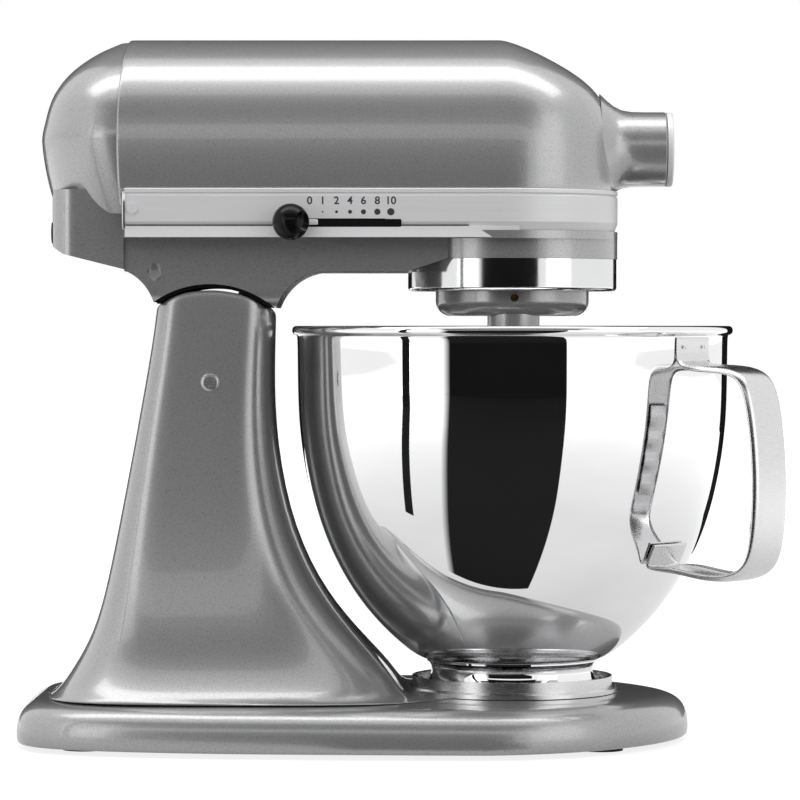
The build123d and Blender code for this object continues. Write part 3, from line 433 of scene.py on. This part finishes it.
# ------------------------------------------------------------------ speed plate numerals
# Fine grey printing on the brushed band: 0 to 10 over dots that grow with the speed.
ink, tree, shader = new_finish("printed_grey")
specks = place_noise(tree, "ShaderNodeTexNoise", 900.0)
two_tones(tree, specks.outputs["Fac"], (0.035, 0.035, 0.037), (0.055, 0.055, 0.058), shader.inputs["Base Color"])
shader.inputs["Roughness"].default_value = 0.55
face_y = band_low.y - 0.04 * mm
scale_low, scale_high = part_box("speed_lever")
lever_x = (scale_low.x + scale_high.x) / 2 / mm
numeral_z = band_high.z / mm - 7.2
for n, (numeral, along) in enumerate((("0", 9.0), ("1", 15.4), ("2", 22.2), ("4", 28.8), ("6", 35.4), ("8", 42.2),
                                      ("10", 48.8))):
    letter = bpy.data.curves.new("numeral", "FONT")
    letter.body = numeral
    letter.size = 5.3 * mm
    letter.align_x, letter.align_y = "CENTER", "BOTTOM"
    letter.offset = 0.1 * mm
    letter.extrude = 0.02 * mm
    holder = bpy.data.objects.new("numeral", letter)
    scene.collection.objects.link(holder)
    bpy.context.view_layer.update()
    flat = bpy.data.meshes.new_from_object(holder.evaluated_get(bpy.context.evaluated_depsgraph_get()))
    bpy.data.objects.remove(holder)
    shape = bmesh.new()
    shape.from_mesh(flat)
    bmesh.ops.transform(shape, verts=shape.verts, matrix=Matrix.Translation(
        ((lever_x + along) * mm, face_y, numeral_z * mm)) @ Matrix.Rotation(math.pi / 2, 4, "X"))
    if n:
        dot = bmesh.ops.create_circle(shape, cap_ends=True, segments=24, radius=(0.16 + 0.27 * n) * mm)
        bmesh.ops.transform(shape, verts=dot["verts"], matrix=Matrix.Translation(
            ((lever_x + along) * mm, face_y, (numeral_z - 2.75) * mm)) @ Matrix.Rotation(math.pi / 2, 4, "X"))
        raised = bmesh.ops.extrude_face_region(shape, geom=[f for f in shape.faces if len(f.verts) == 24])["geom"]
        bmesh.ops.translate(shape, verts=[g for g in raised if isinstance(g, bmesh.types.BMVert)],
                            vec=(0, -0.03 * mm, 0))
    add_piece(f"speed_mark_{numeral}", shape, ink, "head", smooth_angle=30)


# ------------------------------------------------------------------ lower head housing and rear cover
# Castings in the same paint: the tray under the head with its neck and nose, the domed cover
# behind the motor, and the planetary hub that carries the beater shaft.
dress(paint, "head_lower_housing", "rear_cover", "planetary_housing", "planetary_pin")

# ------------------------------------------------------------------ neck shade strip
# Black strip inside the neck: painted shade for the shadow under the neck's rib. It closes the gap over
# the pedestal's rounded top and turns with the head. Its black finish is painted shade wherever it is used.
painted_shade, tree, shader = new_finish("painted_shade_black")
dark_speckle = place_noise(tree, "ShaderNodeTexNoise", 900.0)
two_tones(tree, dark_speckle.outputs["Fac"], (0.004, 0.004, 0.004), (0.012, 0.012, 0.012), shader.inputs["Base Color"])
spread(tree, dark_speckle.outputs["Fac"], 0.85, 1.0, shader.inputs["Roughness"])
shader.inputs["Specular IOR Level"].default_value = 0.1
tilt_axis = (pin_x * mm, 0, pin_z * mm)
strip_start, strip_sweep = math.radians(-34), math.radians(72)
neck_strip = bmesh.new()
corners = chain(neck_strip, [(pin_x, y, pin_z + r) for y, r in (
    (-41.5, 46.9), (41.5, 46.9), (41.5, 48.75), (-41.5, 48.75))])[:4]
bmesh.ops.rotate(neck_strip, verts=corners, cent=tilt_axis, matrix=Matrix.Rotation(strip_start, 3, "Y"))
face = bmesh.ops.contextual_create(neck_strip, geom=corners)["faces"]
bmesh.ops.spin(neck_strip, geom=face, cent=tilt_axis, axis=(0, 1, 0), angle=strip_sweep, steps=36)
add_piece("neck_shade_strip", neck_strip, painted_shade, "head", smooth_angle=40)

# ------------------------------------------------------------------ trim band
# A formed aluminium strip let into the seam between the housings, brushed along its length, with
# a lip above, a ledge below with a thin black strip of painted shade for the gap above it, a bright
# end stop and one domed screw near the rear on each side.
brushed, tree, shader = new_finish("brushed_trim_metal")
lines = place_noise(tree, "ShaderNodeTexNoise", 1.0, (14.0, 14.0, 2600.0))
lines.inputs["Detail"].default_value = 6.0
two_tones(tree, lines.outputs["Fac"], (0.80, 0.80, 0.81), (0.93, 0.93, 0.94), shader.inputs["Base Color"])
shader.inputs["Metallic"].default_value = 0.12
spread(tree, lines.outputs["Fac"], 0.34, 0.50, shader.inputs["Roughness"])
relief(tree, lines.outputs["Fac"], 0.12, 0.02 * mm, shader)
dress(brushed, "trim_band", "trim_band_screws")
edge_half = -band_low.y / mm

ledge = bmesh.new()
ledge_low, ledge_high = band_low.z / mm - 3.6, band_low.z / mm + 2.0
for side in (-1, 1):
    corners = chain(ledge, [(-191.6, side * y, z) for y, z in (
        (edge_half - 1.2, ledge_high), (edge_half + 0.2, ledge_high - 0.1), (edge_half + 0.9, ledge_low + 0.9),
        (edge_half + 1.2, ledge_low), (edge_half - 1.2, ledge_low))])
    points = [c for c in corners if isinstance(c, bmesh.types.BMVert)]
    face = bmesh.ops.contextual_create(ledge, geom=points)["faces"]
    for x, shrink in ((-100.0, 1.0), (-22.0, 1.0), (-8.0, 0.35), (2.0, 0.02)):
        moved = bmesh.ops.extrude_face_region(ledge, geom=face)["geom"]
        bmesh.ops.delete(ledge, geom=face, context="FACES_ONLY")
        face = [g for g in moved if isinstance(g, bmesh.types.BMFace)]
        for corner in face[0].verts:
            inner = side * (edge_half - 1.2)
            corner.co.x = x * mm
            if shrink < 1:
                proud = max(0.0, abs(corner.co.y / mm) - (edge_half - 1.2))
                corner.co.y = (inner + side * proud * shrink) * mm
add_piece("band_ledge", ledge, brushed, "head", smooth_angle=30)

# Thin black strip under the band: painted shade for the shadow in the gap above the ledge.
seam = bmesh.new()
for side in (-1, 1):
    strip = bmesh.ops.create_cube(seam, size=1.0)["verts"]
    bmesh.ops.scale(seam, verts=strip, vec=(168.0 * mm, 0.8 * mm, 0.5 * mm))
    bmesh.ops.translate(seam, verts=strip, vec=(
        -107.0 * mm, side * (edge_half - 0.05) * mm, (ledge_high + 0.2) * mm))
add_piece("band_lower_seam_shade", seam, painted_shade, "head", smooth_angle=30)

lip = bmesh.new()
lip_low, lip_high = band_high.z / mm - 0.4, band_high.z / mm + 1.7
lip_section = ((head_half - 1.0, lip_low), (edge_half + 0.05, lip_low), (edge_half + 0.05, lip_high - 0.4),
               (edge_half - 0.35, lip_high), (head_half - 1.0, lip_high))
turned(lip, [(nose_x, -y, z) for y, z in lip_section + lip_section[:1]], (nose_x, 0, 0), (0, 0, 1), math.pi, 48)
bmesh.ops.remove_doubles(lip, verts=lip.verts, dist=0.01 * mm)
cut_edges = [e for e in lip.edges if e.is_boundary]
moved = bmesh.ops.extrude_edge_only(lip, edges=cut_edges)["geom"]
for corner in (g for g in moved if isinstance(g, bmesh.types.BMVert)):
    corner.co.x = (head_back_x + 1.2) * mm
bmesh.ops.holes_fill(lip, edges=[e for e in lip.edges if e.is_boundary])
add_piece("band_upper_lip", lip, brushed, "head", smooth_angle=30)

chrome, tree, shader = new_finish("bright_chrome")
haze = place_noise(tree, "ShaderNodeTexNoise", 45.0)
two_tones(tree, haze.outputs["Fac"], (0.74, 0.745, 0.75), (0.80, 0.80, 0.805), shader.inputs["Base Color"])
shader.inputs["Metallic"].default_value = 1.0
spread(tree, haze.outputs["Fac"], 0.07, 0.13, shader.inputs["Roughness"])
dress(chrome, "drip_ring")
dress(brushed, "hub_cover")

stops = bmesh.new()
for side in (-1, 1):
    stop = bmesh.ops.create_cube(stops, size=1.0)["verts"]
    bmesh.ops.scale(stops, verts=stop, vec=(1.3 * mm, 1.2 * mm, band_high.z - band_low.z - 1.2 * mm))
    bmesh.ops.translate(stops, verts=stop, vec=(
        (head_back_x + 1.0) * mm, side * (edge_half + 0.1) * mm, (band_low.z + band_high.z) / 2))
bmesh.ops.bevel(stops, geom=stops.edges, offset=0.3 * mm, segments=2, profile=0.5, affect="EDGES", material=-1)
add_piece("band_end_stops", stops, chrome, "head", smooth_angle=40)

# ------------------------------------------------------------------ speed lever and knob
# Moulded black ball with a hollow for the thumb, pressed on a bright lever blade that runs in front
# of a black strip of painted shade that draws the dark slot along the band's lower edge.
gloss_black, tree, shader = new_finish("gloss_black_plastic")
wear = place_noise(tree, "ShaderNodeTexNoise", 120.0)
two_tones(tree, wear.outputs["Fac"], (0.004, 0.004, 0.0045), (0.010, 0.010, 0.011), shader.inputs["Base Color"])
spread(tree, wear.outputs["Fac"], 0.10, 0.16, shader.inputs["Roughness"])
shader.inputs["Specular IOR Level"].default_value = 0.15
dress(gloss_black, "attachment_knob", "lock_lever_knob")

ball_low, ball_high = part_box("speed_knob")
ball_x, ball_z = (ball_low.x + ball_high.x) / 2, (ball_low.z + ball_high.z) / 2
ball_y = ball_low.y + (ball_high.x - ball_low.x) / 2
ball = bmesh.new()
bmesh.ops.create_uvsphere(ball, u_segments=128, v_segments=96, radius=9.0 * mm)
hollow = Vector((8.0, -6.6, 0.0)) * mm
for corner in ball.verts:
    away = corner.co - hollow
    if away.length < 6.0 * mm:
        corner.co = hollow + away.normalized() * 6.0 * mm
bmesh.ops.translate(ball, verts=ball.verts, vec=(ball_x, ball_y, ball_z))
add_piece("speed_ball", ball, gloss_black, "speed_lever", ("speed_knob",), smooth_angle=38)

blade = bmesh.new()
blade_shape = bmesh.ops.create_cube(blade, size=1.0)["verts"]
bmesh.ops.scale(blade, verts=blade_shape, vec=(11.0 * mm, 1.0 * mm, 2.6 * mm))
bmesh.ops.translate(blade, verts=blade_shape, vec=(
    ball_x + 7.6 * mm, band_low.y - 1.1 * mm, scale_low.z + 4.0 * mm))
bmesh.ops.bevel(blade, geom=blade.edges, offset=0.5 * mm, segments=3, profile=0.5, affect="EDGES", material=-1)
add_piece("speed_lever_blade", blade, brushed, "speed_lever", smooth_angle=40)

# Black strip on the band's face: painted shade that draws the dark slot the lever runs in.
liner = bmesh.new()
slot_ends = (ball_x / mm - 5.0, ball_x / mm + 54.0)
slot_shade_half = 1.95
slot_mid = scale_low.z / mm + 3.6
outer = chain(liner, [(x, band_low.y / mm, z) for x, z in (
    (slot_ends[0], slot_mid - slot_shade_half), (slot_ends[1], slot_mid - slot_shade_half), (slot_ends[1], slot_mid + slot_shade_half),
    (slot_ends[0], slot_mid + slot_shade_half))])[:4]
plate = bmesh.ops.contextual_create(liner, geom=outer)["faces"]
pulled = bmesh.ops.extrude_face_region(liner, geom=plate)["geom"]
for corner in (g for g in pulled if isinstance(g, bmesh.types.BMVert)):
    corner.co.y -= 0.3 * mm
bmesh.ops.bevel(liner, geom=[e for e in liner.edges if abs(e.verts[0].co.y - e.verts[1].co.y) > 0.1 * mm],
                offset=0.8 * mm, segments=3, profile=0.5, affect="EDGES", material=-1)
add_piece("speed_slot_shade", liner, painted_shade, "head", smooth_angle=40)

# ------------------------------------------------------------------ bowl
# Drawn stainless steel, polished to a mirror, with a wired rim; it stands on a welded foot ring
# whose waist bends in above three bayonet ears.
mirror, tree, shader = new_finish("polished_steel")
drawn = place_noise(tree, "ShaderNodeTexNoise", 30.0, (1.0, 1.0, 3.0))
two_tones(tree, drawn.outputs["Fac"], (0.84, 0.84, 0.845), (0.90, 0.90, 0.905), shader.inputs["Base Color"])
shader.inputs["Metallic"].default_value = 1.0
spread(tree, drawn.outputs["Fac"], 0.015, 0.03, shader.inputs["Roughness"])

bowl_low, bowl_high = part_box("bowl")
floor_z, rim_z = bowl_low.z / mm, bowl_high.z / mm
sheet_wall = 1.4
bowl_wall = (
    (30.0, floor_z), (41.0, floor_z + 0.2), (47.5, floor_z + 2.1), (55.4, floor_z + 7.5), (66.6, floor_z + 17.8),
    (77.4, floor_z + 30.3), (87.0, floor_z + 45.0), (94.6, floor_z + 60.7), (99.9, floor_z + 76.0),
    (103.5, floor_z + 91.0), (106.2, floor_z + 106.5), (107.8, floor_z + 121.5), (108.4, floor_z + 140.0))
rim = ((108.5, rim_z - 5.2), (109.0, rim_z - 4.6), (110.4, rim_z - 4.4), (111.3, rim_z - 3.2), (111.3, rim_z - 1.6),
       (110.4, rim_z - 0.3), (108.8, rim_z), (107.5, rim_z - 0.5), (107.1, rim_z - 2.0))
lining = [(r - sheet_wall, z + (sheet_wall if r < 90 else 0.6)) for r, z in bowl_wall[::-1]]
bowl = bmesh.new()
turned(bowl, [(r, 0, z) for r, z in ((0.0, floor_z), *bowl_wall, *rim, *lining, (0.0, floor_z + sheet_wall))],
       (0, 0, 0), (0, 0, 1), steps=96)
bmesh.ops.remove_doubles(bowl, verts=bowl.verts, dist=0.01 * mm)
add_piece("bowl_shell", bowl, mirror, "bowl", ("bowl",), levels=2)

foot_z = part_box("bowl_foot_ring")[0].z / mm
foot = bmesh.new()
turned(foot, [(r, 0, z) for r, z in (
    (41.5, floor_z + 0.8), (43.6, floor_z + 1.0), (43.6, floor_z + 0.2), (42.0, floor_z - 0.6),
    (41.0, floor_z - 2.4),
    (40.8, floor_z - 5.0), (41.4, floor_z - 7.6), (43.0, foot_z + 2.2), (44.9, foot_z + 0.7), (45.3, foot_z + 0.2),
    (44.8, foot_z), (43.4, foot_z + 0.3), (40.6, foot_z + 2.4), (39.6, floor_z - 6.0), (39.8, floor_z - 1.0),
    (39.0, floor_z + 0.6))], (0, 0, 0), (0, 0, 1), steps=96)
bmesh.ops.bridge_loops(foot, edges=[e for e in foot.edges if e.is_boundary])
for n in range(3):
    turn = Matrix.Rotation(math.radians(20 + 120 * n), 4, "Z")
    ear = chain(foot, [turn @ Vector(p) for p in (
        (44.4, 0, foot_z + 0.5), (47.9, 0, foot_z + 0.5), (47.9, 0, foot_z + 2.3), (44.4, 0, foot_z + 2.3))])
    face = bmesh.ops.contextual_create(foot, geom=ear[:4])["faces"]
    bmesh.ops.spin(foot, geom=face, cent=(0, 0, 0), axis=(0, 0, 1), angle=math.radians(20), steps=10)
add_piece("bowl_foot", foot, mirror, "bowl", ("bowl_foot_ring",), smooth_angle=50)

# ------------------------------------------------------------------ bowl handle
# A stainless strap with rolled edges, satin finished, bent to a loop and spot welded to the bowl
# through a tab at each end; a scalloped liner gives the fingers their places.
satin, tree, shader = new_finish("satin_steel")
grain = place_noise(tree, "ShaderNodeTexNoise", 1.0, (220.0, 220.0, 1800.0))
grain.inputs["Detail"].default_value = 5.0
two_tones(tree, grain.outputs["Fac"], (0.62, 0.62, 0.625), (0.78, 0.78, 0.785), shader.inputs["Base Color"])
shader.inputs["Metallic"].default_value = 1.0
spread(tree, grain.outputs["Fac"], 0.20, 0.32, shader.inputs["Roughness"])

handle_turn = math.radians(-37.0)


def strap(name, line, across, bend, thickness, wave=0.0):
    """A strip run along a line of (distance from the axis, height, share wrapped on the bowl)."""
    shape = bmesh.new()
    rows = []
    for n, (reach, height, wrapped) in enumerate(line):
        before, after = line[max(n - 1, 0)], line[min(n + 1, len(line) - 1)]
        run, rise = after[0] - before[0], after[1] - before[1]
        length = math.hypot(run, rise)
        outward = (-rise / length, run / length)
        row = []
        for y, drop in zip(across, bend):
            flat = 1 - wrapped
            ripple = wave * (0.5 - 0.5 * math.cos(n * math.pi / 2))
            r = reach - outward[0] * (drop * flat + ripple)
            z = height - outward[1] * (drop * flat + ripple)
            turn = wrapped * y / reach
            x, side = r * math.cos(turn), r * math.sin(turn) + flat * y
            row.append((x * math.cos(handle_turn) - side * math.sin(handle_turn),
                        x * math.sin(handle_turn) + side * math.cos(handle_turn), z))
        rows.append([c for c in chain(shape, row) if isinstance(c, bmesh.types.BMEdge)])
    for first, second in zip(rows, rows[1:]):
        bmesh.ops.bridge_loops(shape, edges=first + second)
    bmesh.ops.recalc_face_normals(shape, faces=shape.faces)
    bmesh.ops.solidify(shape, geom=list(shape.faces), thickness=thickness * mm)
    return add_piece(name, shape, satin, "bowl",
                     ("bowl_handle",) if name == "handle_strap" else (), levels=2)


strap("handle_strap", (
    (109.4, rim_z - 5.6, 1), (109.4, rim_z - 6.4, 1), (109.3, rim_z - 10.0, 1), (109.2, rim_z - 15.0, 1),
    (110.0, rim_z - 17.4, 0.6), (113.0, rim_z - 18.4, 0.2), (120.0, rim_z - 18.8, 0), (131.0, rim_z - 19.0, 0),
    (140.0, rim_z - 20.5, 0), (146.5, rim_z - 25.0, 0), (150.0, rim_z - 33.0, 0), (152.6, rim_z - 46.0, 0),
    (154.3, rim_z - 62.0, 0), (154.9, rim_z - 78.0, 0), (154.4, rim_z - 94.0, 0), (152.8, rim_z - 108.0, 0),
    (149.6, rim_z - 117.0, 0), (143.0, rim_z - 122.4, 0), (133.0, rim_z - 124.6, 0), (121.0, rim_z - 124.2, 0),
    (110.0, rim_z - 122.2, 0), (101.0, rim_z - 121.0, 0), (94.5, rim_z - 120.6, 0.3), (91.0, rim_z - 119.4, 0.8),
    (91.2, rim_z - 117.0, 1), (93.2, rim_z - 112.6, 1), (95.4, rim_z - 107.6, 1), (95.7, rim_z - 106.9, 1)),
    (-14.5, -14.2, -13.0, -10.5, -5.0, 0.0, 5.0, 10.5, 13.0, 14.2, 14.5),
    (3.6, 2.4, 0.9, 0.2, 0.0, 0.0, 0.0, 0.2, 0.9, 2.4, 3.6), 1.5)

strap("handle_liner", [
    (148.4 + 3.6 * math.sin(math.pi * n / 16), rim_z - 42.0 - 3.9 * n, 0) for n in range(17)],
    (-10.0, -9.0, -5.0, 0.0, 5.0, 9.0, 10.0), (0.0, 0.0, 0.0, 0.0, 0.0, 0.0, 0.0), 1.0, wave=2.0)

welds = bmesh.new()
for reach, height, angle in (
        (110.3, rim_z - 10.4, -41.5), (110.3, rim_z - 10.4, -32.5), (95.2, rim_z - 110.8, -37.0)):
    dot = bmesh.ops.create_icosphere(welds, subdivisions=3, radius=1.0 * mm)["verts"]
    bmesh.ops.scale(welds, verts=dot, vec=(0.4, 1.0, 1.0))
    bmesh.ops.transform(welds, verts=dot, matrix=Matrix.Rotation(math.radians(angle), 4, "Z")
                        @ Matrix.Translation((reach * mm, 0, height * mm)))
add_piece("handle_welds", welds, satin, "bowl", smooth_angle=60)

# ------------------------------------------------------------------ clamp plate
# Pressed steel ring in the handle's satin finish that the bowl's ears lock under, with four
# countersunk screws.
dress(satin, "bowl_clamp_plate")

# ------------------------------------------------------------------ screws, shafts and gears
# Machined and hardened steel with a fine turned grain, most of it closed up inside the head.
steel, tree, shader = new_finish("machined_steel")
cut = place_noise(tree, "ShaderNodeTexNoise", 420.0, (1.0, 1.0, 4.0))
two_tones(tree, cut.outputs["Fac"], (0.42, 0.42, 0.43), (0.60, 0.60, 0.61), shader.inputs["Base Color"])
shader.inputs["Metallic"].default_value = 0.7
spread(tree, cut.outputs["Fac"], 0.18, 0.34, shader.inputs["Roughness"])
dress(steel, "clamp_plate_screws", "hinge_pin_set_screw", "neck_screw", "rear_cover_screw", "ring_gear",
      "centre_shaft_bearing", "hinge_pin", "centre_shaft", "centre_gear", "centre_bevel_gear", "agitator_shaft",
      "agitator_pin", "planet_pinion", "worm_wheel_shaft", "drive_pinion", "armature_bearings", "brush_springs",
      "armature_shaft", "armature_core", "field_core", "hub_drive_shaft", "hub_bevel_gear", "attachment_screw",
      "speed_lever", "lock_lever", "housing_screws")

# ------------------------------------------------------------------ bronze bushes and worm wheel
# Sintered bronze bearings, the cast bronze wheel and the brass brush holders.
bronze, tree, shader = new_finish("sintered_bronze")
pores = place_noise(tree, "ShaderNodeTexNoise", 700.0)
two_tones(tree, pores.outputs["Fac"], (0.34, 0.20, 0.09), (0.55, 0.36, 0.17), shader.inputs["Base Color"])
shader.inputs["Metallic"].default_value = 1.0
spread(tree, pores.outputs["Fac"], 0.28, 0.45, shader.inputs["Roughness"])
dress(bronze, "agitator_bush", "worm_wheel", "brush_holders", "hub_bearing_sleeve")

# ------------------------------------------------------------------ gearcase and bearing brackets
# Sand-textured aluminium castings left as cast inside the head.
cast, tree, shader = new_finish("cast_aluminium")
sand = place_noise(tree, "ShaderNodeTexNoise", 520.0)
two_tones(tree, sand.outputs["Fac"], (0.40, 0.40, 0.41), (0.56, 0.56, 0.57), shader.inputs["Base Color"])
shader.inputs["Metallic"].default_value = 0.9
spread(tree, sand.outputs["Fac"], 0.45, 0.62, shader.inputs["Roughness"])
relief(tree, sand.outputs["Fac"], 0.3, 0.1 * mm, shader)
dress(cast, "gearcase_bracket", "rear_bearing_bracket")

# ------------------------------------------------------------------ motor windings and commutator
# Enamelled copper wire, wound in layers, and the copper bars of the commutator.
copper, tree, shader = new_finish("wound_copper")
wires = place_noise(tree, "ShaderNodeTexWave", 900.0)
two_tones(tree, wires.outputs["Fac"], (0.28, 0.10, 0.04), (0.60, 0.27, 0.13), shader.inputs["Base Color"])
shader.inputs["Metallic"].default_value = 0.9
shader.inputs["Coat Weight"].default_value = 0.5
spread(tree, wires.outputs["Fac"], 0.25, 0.4, shader.inputs["Roughness"])
dress(copper, "armature_windings", "commutator", "field_coils")

# ------------------------------------------------------------------ carbon brushes
# Pressed carbon blocks, dull and slightly streaked where they slide.
carbon, tree, shader = new_finish("pressed_carbon")
dust = place_noise(tree, "ShaderNodeTexNoise", 800.0)
two_tones(tree, dust.outputs["Fac"], (0.015, 0.015, 0.015), (0.05, 0.05, 0.05), shader.inputs["Base Color"])
spread(tree, dust.outputs["Fac"], 0.6, 0.8, shader.inputs["Roughness"])
dress(carbon, "carbon_brushes")

# ------------------------------------------------------------------ fan and control plate
# Dark moulded nylon with a fine spark-eroded grain.
nylon, tree, shader = new_finish("dark_nylon")
erosion = place_noise(tree, "ShaderNodeTexNoise", 1100.0)
two_tones(tree, erosion.outputs["Fac"], (0.012, 0.012, 0.013), (0.03, 0.03, 0.032), shader.inputs["Base Color"])
spread(tree, erosion.outputs["Fac"], 0.45, 0.6, shader.inputs["Roughness"])
relief(tree, erosion.outputs["Fac"], 0.2, 0.05 * mm, shader)
dress(nylon, "cooling_fan", "speed_control_plate")

# ------------------------------------------------------------------ rubber feet and cord grommet
# Moulded black rubber, slightly dusty.
rubber, tree, shader = new_finish("moulded_rubber")
bloom = place_noise(tree, "ShaderNodeTexNoise", 300.0)
two_tones(tree, bloom.outputs["Fac"], (0.012, 0.012, 0.012), (0.028, 0.028, 0.028), shader.inputs["Base Color"])
spread(tree, bloom.outputs["Fac"], 0.7, 0.9, shader.inputs["Roughness"])
relief(tree, bloom.outputs["Fac"], 0.25, 0.1 * mm, shader)
dress(rubber, "base_feet", "cord_grommet")
